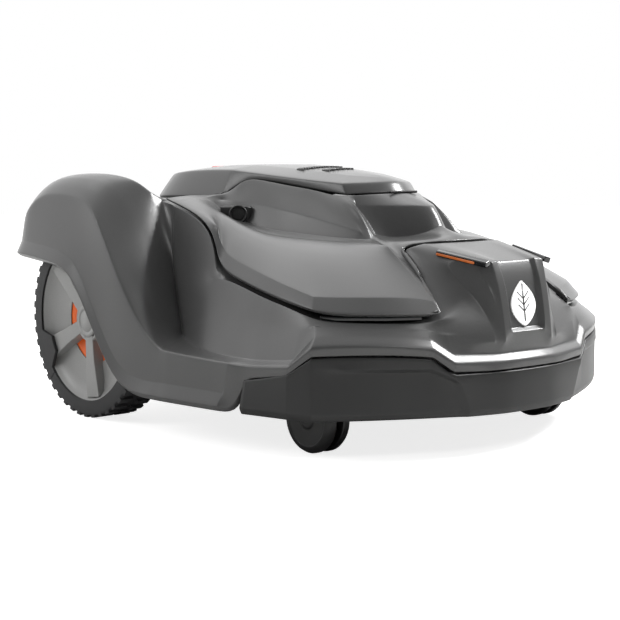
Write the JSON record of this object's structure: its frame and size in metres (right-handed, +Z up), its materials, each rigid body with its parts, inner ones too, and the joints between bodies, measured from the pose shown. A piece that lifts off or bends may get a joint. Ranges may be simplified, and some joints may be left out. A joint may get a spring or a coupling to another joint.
{
  "type": "robotic lawn mower",
  "caption": "Robotic lawn mower: floating moulded body on a chassis with two drive wheels, swivel casters, a height-adjustable cutting disc and a hatch with a STOP button.",
  "frame": {"origin": "on the ground under the middle of the machine, centre of the bounding box's bottom", "axes": "+Z up; the nose points to -Y; +X is the machine's left side"},
  "size_m": [0.554, 0.69, 0.317],
  "materials": {
    "battery_shell": "matte",
    "black_plastic": "satin",
    "board_green": "solder mask",
    "bronze": "sintered",
    "chassis_plastic": "satin",
    "clear_lens": "clear",
    "cover_plastic": "satin",
    "display_glass": "gloss",
    "granite_plastic": "textured",
    "motor_zinc": "cast",
    "orange_plastic": "satin",
    "rim_plastic": "satin",
    "seal_rubber": "matte",
    "steel": "brushed",
    "stop_red": "gloss",
    "tyre_rubber": "matte",
    "white_plastic": "gloss"
  },
  "bodies": {
    "chassis": {"chassis_lower": "chassis_plastic", "chassis_upper": "chassis_plastic", "chassis_seal": "seal_rubber", "battery_pack": "battery_shell", "battery_cover": "chassis_plastic", "main_board": "board_green", "drive_motor_left": "motor_zinc", "drive_motor_right": "motor_zinc", "caster_bushes": "bronze", "charging_contacts": "steel", "chassis_screws": "steel", "console_panel": "black_plastic", "display_window": "display_glass", "guide_posts": "steel", "height_motor": "chassis_plastic"},
    "float_frame": {"float_carriage": "chassis_plastic"},
    "shell": {"body_shell": "granite_plastic", "front_bumper": "black_plastic", "top_cover": "cover_plastic", "nose_emblem": "white_plastic", "headlights": "clear_lens", "ultrasonic_sensors": "black_plastic", "hatch_hinge_pin": "steel"},
    "hatch": {"hatch_lid": "cover_plastic"},
    "stop": {"stop_button": "stop_red"},
    "deck": {"cutting_carriage": "chassis_plastic", "cutting_motor": "motor_zinc"},
    "lead_screw": {"height_screw": "steel"},
    "disc": {"blade_disc": "orange_plastic", "blade_screws": "steel", "cutting_shaft": "steel"},
    "skid": {"skid_plate": "black_plastic"},
    "switch": {"main_switch": "orange_plastic"},
    "blade_1_body": {"blade_1": "steel"},
    "blade_2_body": {"blade_2": "steel"},
    "blade_3_body": {"blade_3": "steel"},
    "key_1_body": {"key_1": "black_plastic"},
    "key_2_body": {"key_2": "black_plastic"},
    "key_3_body": {"key_3": "black_plastic"},
    "key_4_body": {"key_4": "black_plastic"},
    "wheel_left": {"tyre_left": "tyre_rubber", "rim_left": "rim_plastic", "wheel_disc_left": "orange_plastic", "hub_cap_left": "rim_plastic", "wheel_shaft_left": "steel"},
    "swivel_left": {"caster_arm_left": "black_plastic"},
    "caster_left": {"caster_wheel_left": "black_plastic", "caster_axle_left": "steel"},
    "wheel_right": {"tyre_right": "tyre_rubber", "rim_right": "rim_plastic", "wheel_disc_right": "orange_plastic", "hub_cap_right": "rim_plastic", "wheel_shaft_right": "steel"},
    "swivel_right": {"caster_arm_right": "black_plastic"},
    "caster_right": {"caster_wheel_right": "black_plastic", "caster_axle_right": "steel"}
  },
  "joints": [
    {"name": "drive_wheel_left_spin", "type": "hinge", "parent": "chassis", "child": "wheel_left", "pos_m": [0.23, 0.176, 0.122], "axis": [1, 0, 0], "continuous": true},
    {"name": "caster_left_swivel", "type": "hinge", "parent": "chassis", "child": "swivel_left", "pos_m": [0.183, -0.205, 0.11], "axis": [0, 0, 1], "continuous": true},
    {"name": "caster_left_roll", "type": "hinge", "parent": "swivel_left", "child": "caster_left", "pos_m": [0.183, -0.19, 0.039], "axis": [1, 0, 0], "continuous": true},
    {"name": "drive_wheel_right_spin", "type": "hinge", "parent": "chassis", "child": "wheel_right", "pos_m": [-0.23, 0.176, 0.122], "axis": [1, 0, 0], "continuous": true},
    {"name": "caster_right_swivel", "type": "hinge", "parent": "chassis", "child": "swivel_right", "pos_m": [-0.183, -0.205, 0.11], "axis": [0, 0, 1], "continuous": true},
    {"name": "caster_right_roll", "type": "hinge", "parent": "swivel_right", "child": "caster_right", "pos_m": [-0.183, -0.19, 0.039], "axis": [1, 0, 0], "continuous": true},
    {"name": "body_float", "type": "slide", "parent": "chassis", "child": "float_frame", "axis": [0, 1, 0], "range_m": [-0.0025, 0.0025], "stiffness_N_per_m": 4000},
    {"name": "body_lift", "type": "slide", "parent": "float_frame", "child": "shell", "axis": [0, 0, 1], "range_m": [0, 0.01]},
    {"name": "hatch_open", "type": "hinge", "parent": "shell", "child": "hatch", "pos_m": [0, -0.137, 0.284], "axis": [1, 0, 0], "range_deg": [0, 70]},
    {"name": "stop_press", "type": "slide", "parent": "hatch", "child": "stop", "axis": [0, 0, -1], "range_m": [0, 0.004], "stiffness_N_per_m": 2500, "springref_m": -0.002},
    {"name": "cut_height", "type": "slide", "parent": "chassis", "child": "deck", "axis": [0, 0, 1], "range_m": [0, 0.04]},
    {"name": "height_screw_turn", "type": "hinge", "parent": "chassis", "child": "lead_screw", "pos_m": [0, 0.04, 0.12], "axis": [0, 0, 1], "range_deg": [0, 3600]},
    {"name": "disc_spin", "type": "hinge", "parent": "deck", "child": "disc", "pos_m": [0, -0.014, 0.03], "axis": [0, 0, 1], "continuous": true},
    {"name": "skid_spin", "type": "hinge", "parent": "disc", "child": "skid", "pos_m": [0, -0.014, 0.018], "axis": [0, 0, 1], "continuous": true},
    {"name": "blade_1_pivot", "type": "hinge", "parent": "disc", "child": "blade_1_body", "pos_m": [0, 0.074, 0.0248], "axis": [0, 0, 1], "continuous": true},
    {"name": "blade_2_pivot", "type": "hinge", "parent": "disc", "child": "blade_2_body", "pos_m": [-0.07621, -0.058, 0.0248], "axis": [0, 0, 1], "continuous": true},
    {"name": "blade_3_pivot", "type": "hinge", "parent": "disc", "child": "blade_3_body", "pos_m": [0.07621, -0.058, 0.0248], "axis": [0, 0, 1], "continuous": true},
    {"name": "key_1_press", "type": "slide", "parent": "chassis", "child": "key_1_body", "axis": [0, 0, -1], "range_m": [0, 0.0012], "stiffness_N_per_m": 800, "springref_m": -0.001},
    {"name": "key_2_press", "type": "slide", "parent": "chassis", "child": "key_2_body", "axis": [0, 0, -1], "range_m": [0, 0.0012], "stiffness_N_per_m": 800, "springref_m": -0.001},
    {"name": "key_3_press", "type": "slide", "parent": "chassis", "child": "key_3_body", "axis": [0, 0, -1], "range_m": [0, 0.0012], "stiffness_N_per_m": 800, "springref_m": -0.001},
    {"name": "key_4_press", "type": "slide", "parent": "chassis", "child": "key_4_body", "axis": [0, 0, -1], "range_m": [0, 0.0012], "stiffness_N_per_m": 800, "springref_m": -0.001},
    {"name": "main_switch_rock", "type": "hinge", "parent": "chassis", "child": "switch", "pos_m": [0, 0.134, 0.2525], "axis": [1, 0, 0], "range_deg": [0, 8]}
  ],
  "couplings": [
    {"joint": "height_screw_turn", "follows": "cut_height", "rad_per_m": 1570.8}
  ]
}
